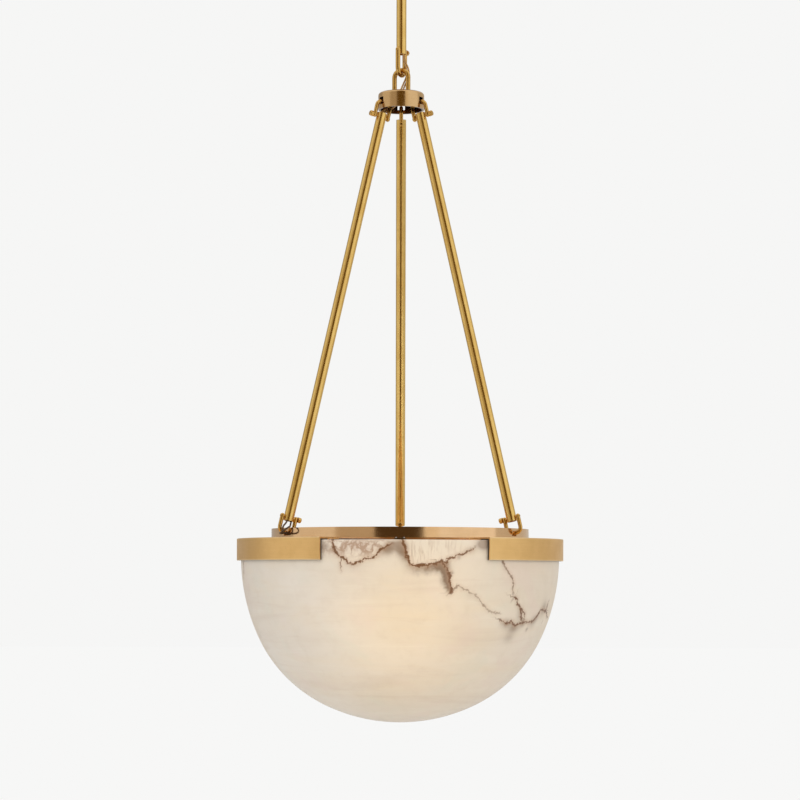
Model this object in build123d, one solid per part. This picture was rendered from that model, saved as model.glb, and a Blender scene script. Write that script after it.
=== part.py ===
from build123d import *

import os
from math import acos, asin, cos, hypot, radians, sin, tan

# Alabaster bowl pendant. Millimetres, +Z up, origin at the centre of the ceiling plate's upper face.
# The viewer stands on the -Y side.

# ceiling plate, its slots and studs
plate_radius = 48.0
plate_thickness = 2.5
plate_hole_radius = 11.0
slot_spacing = 79.4
slot_length = 16.0
slot_width = 4.8
stud_spacing = 69.85
stud_radius = 2.05
thread_gap = 0.05
ceiling_gap = 0.2
earth_screw_radius = 1.9
earth_head_radius = 4.0
earth_head_height = 2.2
earth_screw_place = (24.0, 14.0)

# canopy and its cap nuts
canopy_radius = 63.5
canopy_depth = 25.0
canopy_wall = 1.2
canopy_shoulder = 14.0
cap_nut_radius = 6.0
cap_nut_height = 8.0
cap_nut_crown = 2.0
stud_end_gap = 0.5
hole_gap = 0.2

# hang-straight swivel
ball_radius = 7.9
ball_gap = 0.15
swivel_radius = 12.0
swivel_cup_height = 9.0
swivel_cap_height = 5.2
shank_radius = 6.5
shank_length = 9.0
shank_bore_radius = 3.3
swivel_edge_radius = 1.5
lead_bore_radius = 2.9
lock_nut_radius = 10.5
lock_nut_height = 5.0
ball_neck_radius = 4.0
ball_plug_length = 12.0

# tube stock and the down rod
tube_radius = 6.35
tube_bore_radius = 5.15
rod_length = 140.3
rod_top_drop = 12.0
pin_inset = 4.5

# round bar shackles and pins
bar_radius = 2.5
leg_offset = 9.6
shackle_depth = 19.5
shackle_corner = 6.5
ear_past_pin = 0.6
pin_radius = 1.5
pin_fit = 0.05
pin_head_radius = 3.4
pin_head_length = 4.8
pin_head_edge = 1.2
hang_gap = 0.4

# link and loop, of thicker bar
link_bar_radius = 3.0
link_depth = 30.9
link_corner = 9.5
link_gap = 0.3
link_turn = 63.4
loop_rise = 29.1
loop_leg_length = 42.0
loop_nut_radius = 5.0
loop_nut_height = 4.0
loop_hole_gap = 0.1

# hub
hub_radius = 29.2
hub_height = 21.4
hub_wall = 3.0
hub_edge_radius = 3.5
hub_bridge = 4.9
hub_lead_hole = 3.8
window_height = 9.0
window_width = 9.3

# the three long tubes
azimuths = {"left": 210.0, "right": 330.0, "back": 90.0}
pin_inside_hub = 0.1
pin_inside_ring = 4.3
tube_length = 533.4

# ring
ring_radius = 163.2
ring_wall = 3.0
ring_height = 12.7
ring_bridge = 3.2
ring_window_height = 6.7
ring_window_width = 11.6

# clamps, liners and clamp screws
clamp_radius = 206.9
clamp_sheet = 2.0
clamp_height = 27.5
clamp_arc = 60.8
clamp_turn = 1.8
clamp_inner_leg = 22.0
clamp_leg_gap = 1.9
clamp_edge_radius = 0.6
liner_top = 1.2
liner_thickness = 2.6
liner_gap = 0.2
liner_play = 0.67
clamp_screw_radius = 2.5
clamp_screw_drop = 13.0
clamp_screw_reach = 4.0
clamp_screw_head = 4.5
clamp_screw_head_height = 2.5
clamp_screw_angle = 20.0
clamp_screw_seat = 0.07
clamp_screw_gap = 0.15
clamp_screw_end_gap = 1.5

# alabaster bowl: three tangent arcs from the foot to the rim, as wide as the liners allow
bowl_depth = 228.7
bowl_wall = 13.0
bowl_rim_chamfer = 1.0
foot_arc_angle = 26.6
shoulder_arc_radius = 177.5
shoulder_arc_angle = 65.0
rim_arc_radius = 244.4

# spider, lamp cup, holders and lamps
spider_width = 14.0
spider_thickness = 3.0
spider_end_gap = 6.0
spider_boss_radius = 24.0
spider_screw_radius = 2.0
spider_screw_head = 4.0
spider_screw_head_height = 2.4
spider_screw_inset = 7.0
spider_lead_hole = 5.0
spider_lead_circle = 15.0
nipple_radius = 4.8
nipple_bore = 3.2
nipple_gap = 0.1
nipple_rise = 7.0
nipple_length = 24.0
nipple_nut_radius = 8.0
nipple_nut_height = 4.0
lamp_cup_radius = 34.0
lamp_cup_foot = 12.0
lamp_cup_drum = 22.8
lamp_cup_cone = 32.0
lamp_cup_wall = 1.5
holder_radius = 15.0
holder_length = 32.0
holder_bore_radius = 13.3
holder_bore_depth = 27.0
holder_spigot_radius = 6.0
holder_spigot_length = 4.0
lamp_cap_radius = 13.0
lamp_cap_length = 26.0
globe_radius = 30.0
globe_reach = 70.0
globe_neck_radius = 18.6
globe_neck_length = 4.0
globe_neck_flare = 1.0

# wire connectors in the canopy
connector_radius = 4.5
connector_tip_radius = 3.0
connector_length = 18.0
connector_bore_depth = 4.0
connector_rise = 17.0
connector_spread = 24.0
connector_aside = 6.0

# lead: twin conductors
wire_radius = 1.1
wire_spread = 1.3
wire_aside = 3.3
wire_end_gap = 0.5
wire_exit_u = 2.7
wire_exit_t = 2.8
wire_gap = 0.15


def direction(azimuth):
    return Vector(cos(radians(azimuth)), sin(radians(azimuth)), 0)


def lathe(*points):
    # a closed outline of (radius, height) points turned about the vertical axis
    return revolve(make_face(Plane.XZ * Polyline(*points, close=True)), Axis.Z)


def rod(radius, low, high):
    return Pos(0, 0, low) * Cylinder(radius, high - low, align=(Align.CENTER, Align.CENTER, Align.MIN))


def cross_rod(radius, start, end):
    # a round rod along local X
    turned = Rot(0, 90, 0) * Cylinder(radius, end - start, align=(Align.CENTER, Align.CENTER, Align.MIN))
    return Pos(start, 0, 0) * turned


def hex_nut(radius, bore, low, high):
    body = Pos(0, 0, low) * extrude(RegularPolygon(radius, 6), high - low)
    return body - rod(bore, low - 1, high + 1)


def save(name, *solids):
    shape = solids[0] if len(solids) == 1 else Compound(children=list(solids))
    export_step(shape, f"parts/{name}.step")


def bent_bar(depth, offset, radius, corner, past):
    # a U of round bar: legs along local Z, bend at +Z, eyes at the origin's height
    corners = [(-offset, 0, -past), (-offset, 0, depth), (offset, 0, depth), (offset, 0, -past)]
    path = FilletPolyline(*corners, radius=corner)
    return sweep(Plane(corners[0], z_dir=(0, 0, 1)) * Circle(radius), path=path)


def shackle(depth, offset, radius, corner):
    bar = bent_bar(depth, offset, radius, corner, ear_past_pin)
    for side in (-1, 1):
        bar += Pos(side * offset, 0, -ear_past_pin) * Sphere(radius)
    return bar - cross_rod(pin_radius + pin_fit, -2 * offset, 2 * offset)


def pin(offset, radius, head_side):
    # shank through both ears, a round head outside one of them
    edge = offset + radius
    shank = cross_rod(pin_radius, -edge, edge)
    head = cross_rod(pin_head_radius, edge, edge + pin_head_length)
    head = fillet(head.edges().group_by(Axis.X)[-1], pin_head_edge)
    if head_side < 0:
        head = Rot(0, 0, 180) * head
    return shank + head


def turns(points):
    # bend radius for each corner of a wire's route: as large as its two runs allow
    spots = [Vector(*p) for p in points]
    radii = []
    for before, here, after in zip(spots, spots[1:], spots[2:]):
        run = min((here - before).length, (after - here).length)
        half = radians((here - before).get_angle(after - here)) / 2
        radii.append(0.45 * run / tan(half))
    return radii


def wire(points):
    radii = turns(points)
    if radii:
        print("wire bend radii", [round(r, 1) for r in radii])
        path = FilletPolyline(*points, radius=radii)
    else:
        path = Line(*points)
    return sweep(Plane(path @ 0, z_dir=path % 0) * Circle(wire_radius), path=path)


os.makedirs("parts", exist_ok=True)

# heights, worked out from the ceiling down
canopy_floor = -canopy_depth
ball_z = canopy_floor - swivel_cup_height
rod_top = ball_z - rod_top_drop
rod_end = rod_top - rod_length
link_pin_z = rod_end + pin_inset
link_bend_z = link_pin_z - link_depth
loop_bend_z = link_bend_z + 2 * link_bar_radius + link_gap
hub_top = loop_bend_z - loop_rise
hub_bottom = hub_top - hub_height

# the long tubes lean in their radial planes, from the pin at the hub to the pin at the ring
top_pin_circle = hub_radius - pin_inside_hub
bottom_pin_circle = ring_radius - pin_inside_ring
pin_distance = tube_length - 2 * pin_inset
lean = asin((bottom_pin_circle - top_pin_circle) / pin_distance)
seat_depth = shackle_depth - bar_radius - hang_gap
bridge_top = hub_bottom + hub_bridge
inner_step = hub_radius - hub_wall - top_pin_circle
top_pin_z = bridge_top - (seat_depth + inner_step * sin(lean)) / cos(lean)
bottom_pin_z = top_pin_z - pin_distance * cos(lean)
outer_step = ring_radius - bottom_pin_circle
ring_bridge_z = bottom_pin_z - (seat_depth - outer_step * sin(lean)) / cos(lean)
ring_top = ring_bridge_z + ring_bridge
ring_bottom = ring_top - ring_height
plate_low = ring_bottom - clamp_sheet
rim_z = plate_low - liner_top - liner_gap
foot_z = rim_z - bowl_depth
print("lean", round(lean * 57.2958, 3), "rod end", rod_end, "hub", hub_top, hub_bottom)
print("pins", top_pin_z, bottom_pin_z, "ring", ring_top, ring_bottom, "rim", rim_z, "foot", foot_z)


def tube_frame(azimuth, at_ring):
    # local X leans outwards across the tube, local Z runs from the pin to the shackle's bend
    out = direction(azimuth)
    across = out * cos(lean) + Vector(0, 0, sin(lean))
    down = out * sin(lean) - Vector(0, 0, cos(lean))
    if at_ring:
        return Plane(out * bottom_pin_circle + Vector(0, 0, bottom_pin_z), x_dir=across, z_dir=down)
    return Plane(out * top_pin_circle + Vector(0, 0, top_pin_z), x_dir=across, z_dir=-down)


# ceiling plate, studs, earth screw
plate = rod(plate_radius, -plate_thickness, 0) - rod(plate_hole_radius, -plate_thickness - 1, 1)
slot = extrude(SlotOverall(slot_length, slot_width), plate_thickness + 2)
for side in (-1, 1):
    plate -= Pos(side * slot_spacing / 2, 0, -plate_thickness - 1) * slot
    stud_hole = rod(stud_radius + thread_gap, -plate_thickness - 1, 1)
    plate -= Pos(0, side * stud_spacing / 2, 0) * stud_hole
earth_x, earth_y = earth_screw_place
plate -= Pos(earth_x, earth_y, 0) * rod(earth_screw_radius + thread_gap, -plate_thickness - 1, 1)
save("ceiling_plate", plate)

stud_low = canopy_floor - cap_nut_height + cap_nut_crown + stud_end_gap
stud = rod(stud_radius, stud_low, -ceiling_gap)
studs = [Pos(0, side * stud_spacing / 2, 0) * stud for side in (-1, 1)]
save("studs", *studs)

earth_screw = rod(earth_screw_radius, -plate_thickness, -ceiling_gap)
earth_screw += rod(earth_head_radius, -plate_thickness - earth_head_height, -plate_thickness)
save("earth_screw", Pos(earth_x, earth_y, 0) * earth_screw)

# canopy: a shallow drum with a rounded shoulder, open to the ceiling
canopy = fillet(rod(canopy_radius, canopy_floor, 0).edges().group_by(Axis.Z)[0], canopy_shoulder)
hollow = rod(canopy_radius - canopy_wall, canopy_floor + canopy_wall, 1)
hollow = fillet(hollow.edges().group_by(Axis.Z)[0], canopy_shoulder - canopy_wall)
canopy -= hollow
canopy -= rod(shank_radius + hole_gap, canopy_floor - 1, 0)
for side in (-1, 1):
    canopy -= Pos(0, side * stud_spacing / 2, 0) * rod(stud_radius + hole_gap, canopy_floor - 1, 0)
save("canopy", canopy)

cap_nut = rod(cap_nut_radius, -cap_nut_height, 0)
cap_nut = fillet(cap_nut.edges().group_by(Axis.Z)[0], 0.6 * cap_nut_radius)
cap_nut -= rod(stud_radius + thread_gap, cap_nut_crown - cap_nut_height, 1)
cap_nuts = [Pos(0, side * stud_spacing / 2, canopy_floor) * cap_nut for side in (-1, 1)]
save("cap_nuts", *cap_nuts)

# swivel: cup above and cap below hold the ball
socket = Pos(0, 0, ball_z) * Sphere(ball_radius + ball_gap)
shank_bore = rod(shank_bore_radius, ball_z, canopy_floor + shank_length + 1)
shank_top = canopy_floor + shank_length
cup = rod(swivel_radius, ball_z, canopy_floor) + rod(shank_radius, canopy_floor, shank_top)
save("swivel_cup", cup - socket - shank_bore)
cap = rod(swivel_radius, ball_z - swivel_cap_height, ball_z)
cap = fillet(cap.edges().group_by(Axis.Z)[0], swivel_edge_radius)
save("swivel_cap", cap - socket)
nut_low = canopy_floor + canopy_wall
lock_nut = hex_nut(lock_nut_radius, shank_radius + thread_gap, 0, lock_nut_height)
save("lock_nut", Pos(0, 0, nut_low) * lock_nut)

ball = Pos(0, 0, ball_z) * Sphere(ball_radius) + rod(ball_neck_radius, rod_top, ball_z)
plug_end = rod_top - ball_plug_length
ball += rod(tube_bore_radius - thread_gap, plug_end, rod_top)
save("swivel_ball", ball - rod(lead_bore_radius, plug_end - 1, ball_z + 2 * ball_radius))

# down rod, link shackle and its pin
link_frame = Plane((0, 0, link_pin_z), x_dir=direction(link_turn), z_dir=(0, 0, -1))
down_rod = rod(tube_radius, rod_end, rod_top) - rod(tube_bore_radius, rod_end - 1, rod_top + 1)
down_rod -= link_frame * cross_rod(pin_radius + pin_fit, -2 * tube_radius, 2 * tube_radius)
save("down_rod", down_rod)
save("link_shackle", link_frame * shackle(link_depth, leg_offset, link_bar_radius, link_corner))
save("link_pin", link_frame * pin(leg_offset, link_bar_radius, 1))

# hub with its loop
hub_outer = rod(hub_radius, hub_bottom, hub_top)
hub_outer = fillet(hub_outer.edges().group_by(Axis.Z)[-1], hub_edge_radius)
hub = hub_outer - rod(hub_radius - hub_wall, hub_bottom - 1, hub_top - hub_wall)
hub -= rod(hub_lead_hole, hub_bottom, hub_top + 1)
window = Box(4 * hub_wall, window_width, window_height)
window = Pos(hub_radius, 0, bridge_top + window_height / 2) * window
for azimuth in azimuths.values():
    hub -= Rot(0, 0, azimuth) * window
loop_frame = Plane((0, 0, loop_bend_z), x_dir=direction(link_turn - 90), z_dir=(0, 0, 1))
leg_hole = rod(link_bar_radius + loop_hole_gap, -hub_height - loop_rise, 0)
for side in (-1, 1):
    hub -= loop_frame * Pos(side * leg_offset, 0, 0) * leg_hole
save("hub", hub)
loop = bent_bar(0, leg_offset, link_bar_radius, link_corner, loop_leg_length)
save("hub_loop", loop_frame * loop)
nut_high = -loop_rise - hub_wall
nut = hex_nut(loop_nut_radius, link_bar_radius + thread_gap, nut_high - loop_nut_height, nut_high)
save("loop_nuts", *[loop_frame * Pos(side * leg_offset, 0, 0) * nut for side in (-1, 1)])

# long tubes with a shackle and a pin at each end
for name, azimuth in azimuths.items():
    top = tube_frame(azimuth, False)
    bottom = tube_frame(azimuth, True)
    tube = rod(tube_radius, -pin_distance - pin_inset, pin_inset)
    tube -= rod(tube_bore_radius, -pin_distance - pin_inset - 1, pin_inset + 1)
    for height in (0, -pin_distance):
        hole = cross_rod(pin_radius + pin_fit, -2 * tube_radius, 2 * tube_radius)
        tube -= Pos(0, 0, height) * hole
    save(f"tube_{name}", top * tube)
    u_shackle = shackle(shackle_depth, leg_offset, bar_radius, shackle_corner)
    save(f"upper_shackle_{name}", top * u_shackle)
    save(f"upper_pin_{name}", top * pin(leg_offset, bar_radius, 1))
    save(f"lower_shackle_{name}", bottom * u_shackle)
    save(f"lower_pin_{name}", bottom * pin(leg_offset, bar_radius, -1))

# ring with its three windows
ring = rod(ring_radius, ring_bottom, ring_top)
ring -= rod(ring_radius - ring_wall, ring_bottom - 1, ring_top + 1)
window_z = ring_bridge_z - ring_window_height / 2
window = Pos(ring_radius, 0, window_z) * Box(6 * ring_wall, ring_window_width, ring_window_height)
for azimuth in azimuths.values():
    ring -= Rot(0, 0, azimuth) * window
save("ring", ring)

# bowl
bowl_radius = clamp_radius - clamp_sheet - liner_thickness - liner_play
foot_angle = radians(foot_arc_angle)
shoulder_angle = radians(shoulder_arc_angle)
shoulder_step = shoulder_arc_radius - rim_arc_radius
rim_x = bowl_radius - rim_arc_radius
foot_step = (rim_x - shoulder_step * sin(shoulder_angle)) / sin(foot_angle)
foot_arc_radius = shoulder_arc_radius + foot_step
foot_centre = (0.0, foot_z + foot_arc_radius)
shoulder_centre = (foot_step * sin(foot_angle), foot_centre[1] - foot_step * cos(foot_angle))
rim_centre = (rim_x, shoulder_centre[1] - shoulder_step * cos(shoulder_angle))
print("foot arc radius", round(foot_arc_radius, 2))


def bowl_arcs(inset):
    # the bowl's outline, moved inwards by inset, from the axis to the rim
    rim_angle = acos((rim_centre[1] - rim_z) / (rim_arc_radius - inset))
    arcs = []
    for centre, radius, start, end in (
        (foot_centre, foot_arc_radius - inset, 0.0, foot_angle),
        (shoulder_centre, shoulder_arc_radius - inset, foot_angle, shoulder_angle),
        (rim_centre, rim_arc_radius - inset, shoulder_angle, rim_angle),
    ):
        spots = [
            (centre[0] + radius * sin(angle), centre[1] - radius * cos(angle))
            for angle in (start, (start + end) / 2, end)
        ]
        arcs.append(ThreePointArc(*spots))
    return arcs


outer_arcs = bowl_arcs(0)
inner_arcs = bowl_arcs(bowl_wall)
rim_line = Line(outer_arcs[-1] @ 1, inner_arcs[-1] @ 1)
axis_line = Line(inner_arcs[0] @ 0, outer_arcs[0] @ 0)
outline = Curve() + outer_arcs + inner_arcs + [rim_line, axis_line]
bowl = revolve(make_face(Plane.XZ * outline), Axis.Z)
bowl = chamfer(bowl.edges().group_by(Axis.Z)[-1], bowl_rim_chamfer)
inner_rim = (inner_arcs[-1] @ 1).X
screw_z = rim_z - clamp_screw_drop
hole_end = inner_rim + clamp_screw_reach + clamp_screw_end_gap
hole = cross_rod(clamp_screw_radius + clamp_screw_gap, inner_rim - 5, hole_end)
for azimuth in azimuths.values():
    for turn in (-clamp_screw_angle, clamp_screw_angle):
        bowl -= Rot(0, 0, azimuth + clamp_turn + turn) * Pos(0, 0, screw_z) * hole
save("bowl", bowl)
print("bowl volume", round(bowl.volume / 1e6, 3), "inner rim radius", round(inner_rim, 2))

# clamps: channels bent over the rim, with liners and screws
skirt_inner = clamp_radius - clamp_sheet
leg_outer = inner_rim - clamp_leg_gap
spider_reach = leg_outer - clamp_sheet - spider_end_gap
spider_screw_circle = spider_reach - spider_screw_inset
plate_inner = ring_radius - ring_wall
channel = [
    (plate_inner, ring_bottom),
    (clamp_radius, ring_bottom),
    (clamp_radius, ring_bottom - clamp_height),
    (skirt_inner, ring_bottom - clamp_height),
    (skirt_inner, plate_low),
    (leg_outer, plate_low),
    (leg_outer, ring_bottom - clamp_inner_leg),
    (leg_outer - clamp_sheet, ring_bottom - clamp_inner_leg),
    (leg_outer - clamp_sheet, plate_low),
    (plate_inner, plate_low),
]
liner = [
    (inner_rim, plate_low),
    (skirt_inner, plate_low),
    (skirt_inner, ring_bottom - clamp_height),
    (skirt_inner - liner_thickness, ring_bottom - clamp_height),
    (skirt_inner - liner_thickness, plate_low - liner_top),
    (inner_rim, plate_low - liner_top),
]


def arc_strip(outline_points, arc):
    # an outline turned through an arc centred on local X
    face = make_face(Plane.XZ * Polyline(*outline_points, close=True))
    return Rot(0, 0, -arc / 2) * revolve(face, Axis.Z, arc)


clamp = arc_strip(channel, clamp_arc)
outer_edges = clamp.edges().filter_by(lambda edge: edge.geom_type == GeomType.CIRCLE)
outer_edges = outer_edges.filter_by(lambda edge: abs(edge.radius - clamp_radius) < 0.01)
clamp = fillet(outer_edges, clamp_edge_radius)
screw_hole = cross_rod(clamp_screw_radius + thread_gap, leg_outer - clamp_sheet - 1, leg_outer + 1)
screw = cross_rod(clamp_screw_radius, leg_outer - clamp_sheet, inner_rim + clamp_screw_reach)
head_face = leg_outer - clamp_sheet - clamp_screw_seat
screw += cross_rod(clamp_screw_head, head_face - clamp_screw_head_height, head_face)
arm_hole = rod(spider_screw_radius + thread_gap, plate_low - 1, ring_bottom + 1)
clamp -= Pos(spider_screw_circle, 0, 0) * arm_hole
clamp_screws = []
for turn in (-clamp_screw_angle, clamp_screw_angle):
    clamp -= Rot(0, 0, turn) * Pos(0, 0, screw_z) * screw_hole
    clamp_screws.append(Rot(0, 0, turn) * Pos(0, 0, screw_z) * screw)
for name, azimuth in azimuths.items():
    place = Rot(0, 0, azimuth + clamp_turn)
    save(f"clamp_{name}", place * clamp)
    save(f"liner_{name}", place * arc_strip(liner, clamp_arc))
all_screws = [Rot(0, 0, azimuth + clamp_turn) * s for azimuth in azimuths.values() for s in clamp_screws]
save("clamp_screws", *all_screws)

# spider under the clamps' plates, with its screws, nipple and nuts
spider_low = plate_low - spider_thickness
spider = rod(spider_boss_radius, spider_low, plate_low)
arm = Box(spider_reach, spider_width, spider_thickness)
arm = Pos(spider_reach / 2, 0, spider_low + spider_thickness / 2) * arm
spider_screws = []
spider_screw = rod(spider_screw_radius, spider_low - spider_screw_head_height, ring_bottom - hole_gap)
spider_screw += rod(spider_screw_head, spider_low - spider_screw_head_height, spider_low)
for azimuth in azimuths.values():
    spider += Rot(0, 0, azimuth + clamp_turn) * arm
for azimuth in azimuths.values():
    place = Rot(0, 0, azimuth + clamp_turn) * Pos(spider_screw_circle, 0, 0)
    spider -= place * rod(spider_screw_radius + thread_gap, spider_low - 1, plate_low + 1)
    spider_screws.append(place * spider_screw)
spider -= rod(nipple_radius + nipple_gap, spider_low - 1, plate_low + 1)
lead_hole = rod(spider_lead_hole, spider_low - lamp_cup_wall - 1, plate_low + 1)
lead_hole = Rot(0, 0, azimuths["left"]) * Pos(spider_lead_circle, 0, 0) * lead_hole
spider -= lead_hole
save("spider", spider)
save("spider_screws", *spider_screws)
nipple_top = plate_low + nipple_rise
nipple = rod(nipple_radius, nipple_top - nipple_length, nipple_top)
save("lamp_nipple", nipple - rod(nipple_bore, nipple_top - nipple_length - 1, nipple_top + 1))
cup_top = spider_low
cup_inner_top = cup_top - lamp_cup_wall
nipple_nut = hex_nut(nipple_nut_radius, nipple_radius + thread_gap, 0, nipple_nut_height)
nut_heights = (plate_low, cup_inner_top - nipple_nut_height)
save("nipple_nuts", *[Pos(0, 0, height) * nipple_nut for height in nut_heights])

# lamp cup: a drum over a cone, each holder square to the cone's side
drum_low = cup_top - lamp_cup_drum
cup_low = drum_low - lamp_cup_cone
cone_run = hypot(lamp_cup_radius - lamp_cup_foot, lamp_cup_cone)
inner_foot = lamp_cup_foot - lamp_cup_wall * (cone_run - lamp_cup_radius + lamp_cup_foot) / lamp_cup_cone
inner_drum = lamp_cup_radius - lamp_cup_wall
inner_drum_low = drum_low + lamp_cup_wall * (cone_run - lamp_cup_cone) / (lamp_cup_radius - lamp_cup_foot)
lamp_cup = lathe(
    (0, cup_top),
    (lamp_cup_radius, cup_top),
    (lamp_cup_radius, drum_low),
    (lamp_cup_foot, cup_low),
    (0, cup_low),
    (0, cup_low + lamp_cup_wall),
    (inner_foot, cup_low + lamp_cup_wall),
    (inner_drum, inner_drum_low),
    (inner_drum, cup_inner_top),
    (0, cup_inner_top),
)
lamp_cup -= rod(nipple_radius + nipple_gap, cup_inner_top - 1, cup_top + 1)
lamp_cup -= lead_hole
dip = Vector(lamp_cup_cone, 0, lamp_cup_foot - lamp_cup_radius) / cone_run
cone_middle = Vector((lamp_cup_radius + lamp_cup_foot) / 2, 0, (drum_low + cup_low) / 2)
holder_place = Plane(cone_middle, x_dir=(0, 1, 0), z_dir=dip).location
holder = rod(holder_radius, 0, holder_length)
holder -= rod(holder_bore_radius, holder_length - holder_bore_depth, holder_length + 1)
holder += rod(holder_spigot_radius, -holder_spigot_length, 0)
lamp_cap = rod(lamp_cap_radius, holder_length - lamp_cap_length, holder_length)
neck_join = globe_reach - (globe_radius**2 - globe_neck_radius**2) ** 0.5
globe = Pos(0, 0, globe_reach) * Sphere(globe_radius)
neck = lathe(
    (0, holder_length),
    (lamp_cap_radius, holder_length),
    (lamp_cap_radius + globe_neck_flare, holder_length + globe_neck_length),
    (globe_neck_radius, neck_join + 1),
    (0, neck_join + 1),
)
globe += neck
lamp_caps = []
for number, azimuth in enumerate(azimuths.values(), start=1):
    place = Rot(0, 0, azimuth + 60) * holder_place
    lamp_cup -= place * rod(holder_spigot_radius + nipple_gap, -holder_spigot_length - 1, 1)
    save(f"lamp_holder_{number}", place * holder)
    lamp_caps.append(place * lamp_cap)
    save(f"lamp_globe_{number}", place * globe)
save("lamp_cup", lamp_cup)
save("lamp_caps", *lamp_caps)

# wire connectors in the canopy, then the lead from there to the lamp cup
side_dir = direction(link_turn)
aside_dir = direction(link_turn - 90)


def at_rod(spread, aside, z):
    # a place in the rod, across the link pin's direction
    return tuple(side_dir * spread + aside_dir * aside + Vector(0, 0, z))


def at_tube(azimuth, u, t, w, at_ring=False):
    # a place in a tube's frame: u outwards across it, t round the axis, w down along it
    out = direction(azimuth)
    round_dir = direction(azimuth + 90)
    radius, height = (bottom_pin_circle, bottom_pin_z) if at_ring else (top_pin_circle, top_pin_z)
    flat = out * (radius + u * cos(lean) + w * sin(lean)) + round_dir * t
    return tuple(flat + Vector(0, 0, height + u * sin(lean) - w * cos(lean)))


def round_ring(azimuth, radius, t, z):
    return tuple(direction(azimuth) * radius + direction(azimuth + 90) * t + Vector(0, 0, z))


connector_z = canopy_floor + connector_rise
shell = lathe(
    (0, 0),
    (connector_radius, 0),
    (connector_tip_radius, connector_length),
    (0, connector_length),
)
shell -= rod(wire_radius + wire_gap, -1, connector_bore_depth)
connectors = []
for side in (1, -1):
    mouth = at_rod(connector_spread * side, connector_aside * side, connector_z)
    connectors.append(Plane(mouth, x_dir=(0, 0, 1), z_dir=side_dir * side) * shell)
save("wire_connectors", *connectors)
canopy_wires = []
for side in (1, -1):
    canopy_wires.append(
        wire(
            [
                at_rod((connector_spread + 2) * side, connector_aside * side, connector_z),
                at_rod((connector_spread - 3) * side, connector_aside * side, connector_z),
                at_rod(12 * side, 5.2 * side, connector_z + 0.8),
                at_rod(4.5 * side, 2.6 * side, connector_z - 1.5),
                at_rod(wire_spread * side, 0.3 * side, shank_top - 0.5),
                at_rod(wire_spread * side, 0, ball_z + ball_radius + 0.4),
            ]
        )
    )
save("lead_canopy", *canopy_wires)

rod_wires = []
for side in (1, -1):
    rod_wires.append(
        wire(
            [
                at_rod(wire_spread * side, 0, ball_z + ball_radius - 0.8),
                at_rod(wire_spread * side, 0, plug_end - 2),
                at_rod(wire_spread * side, wire_aside, rod_top - 45),
                at_rod(wire_spread * side, wire_aside, rod_end + 2),
            ]
        )
    )
save("lead_rod", *rod_wires)

# the free bend beside the link, in two lengths that meet half way down
outer_route = [
    at_rod(wire_spread, wire_aside, rod_end + 1.5),
    at_rod(wire_spread, wire_aside, rod_end - 3),
    (5.3, 0.6, rod_end - 10),
    (9.7, 2.0, rod_end - 18.7),
    (9.5, 2.6, rod_end - 27.7),
    (5.2, 1.6, rod_end - 37.7),
    (wire_spread, 0.2, rod_end - 47),
    (wire_spread, 0, hub_top - 1.5),
]
inner_route = [
    at_rod(-wire_spread, wire_aside, rod_end + 1.5),
    at_rod(-wire_spread, wire_aside, rod_end - 3),
    (3.1, -1.4, rod_end - 10),
    (7.1, 1.3, rod_end - 19.2),
    (6.9, 1.9, rod_end - 27.7),
    (2.6, 1.0, rod_end - 37.2),
    (-wire_spread, 0.2, rod_end - 46.5),
    (-wire_spread, 0, hub_top - 1.5),
]
upper_half = []
lower_half = []
for route in (outer_route, inner_route):
    middle = tuple((Vector(*route[2]) + Vector(*route[3])) / 2)
    upper_half.append(wire(route[:3] + [middle]))
    lower_half.append(wire([middle] + route[3:]))
save("lead_link_upper", *upper_half)
save("lead_link_lower", *lower_half)

left = azimuths["left"]
hub_wires = [
    wire(
        [
            (wire_spread, 0, hub_top - 2.0),
            (wire_spread, 0, hub_top - 7.5),
            round_ring(left, 5.5, -3.2, hub_bottom + 5.9),
            round_ring(left, 15.5, -4.6, hub_bottom - 1.2),
            round_ring(left, 22.8, -4.3, hub_bottom - 4.4),
            at_tube(left, -wire_spread, -wire_aside - 0.1, -pin_inset - wire_end_gap),
        ]
    ),
    wire(
        [
            (-wire_spread, 0, hub_top - 2.0),
            (-wire_spread, 0, hub_top - 6.5),
            round_ring(left, 8, -3.6, hub_bottom + 7.4),
            round_ring(left, 18, -4.6, hub_bottom + 0.9),
            round_ring(left, 25.2, -4.0, hub_bottom - 3.0),
            at_tube(left, wire_spread, -wire_aside - 0.1, -pin_inset - wire_end_gap),
        ]
    ),
]
save("lead_hub", *hub_wires)

tube_wires = []
for side in (-1, 1):
    tube_wires.append(
        wire(
            [
                at_tube(left, side * wire_spread, -wire_aside, -pin_inset + wire_end_gap),
                at_tube(left, side * wire_spread, -wire_aside, 8),
                at_tube(left, side * wire_spread, wire_aside, -12, True),
                at_tube(left, side * wire_exit_u, wire_exit_t, -4, True),
                at_tube(left, side * wire_exit_u, wire_exit_t, 1, True),
            ]
        )
    )
save("lead_tube", *tube_wires)

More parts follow.
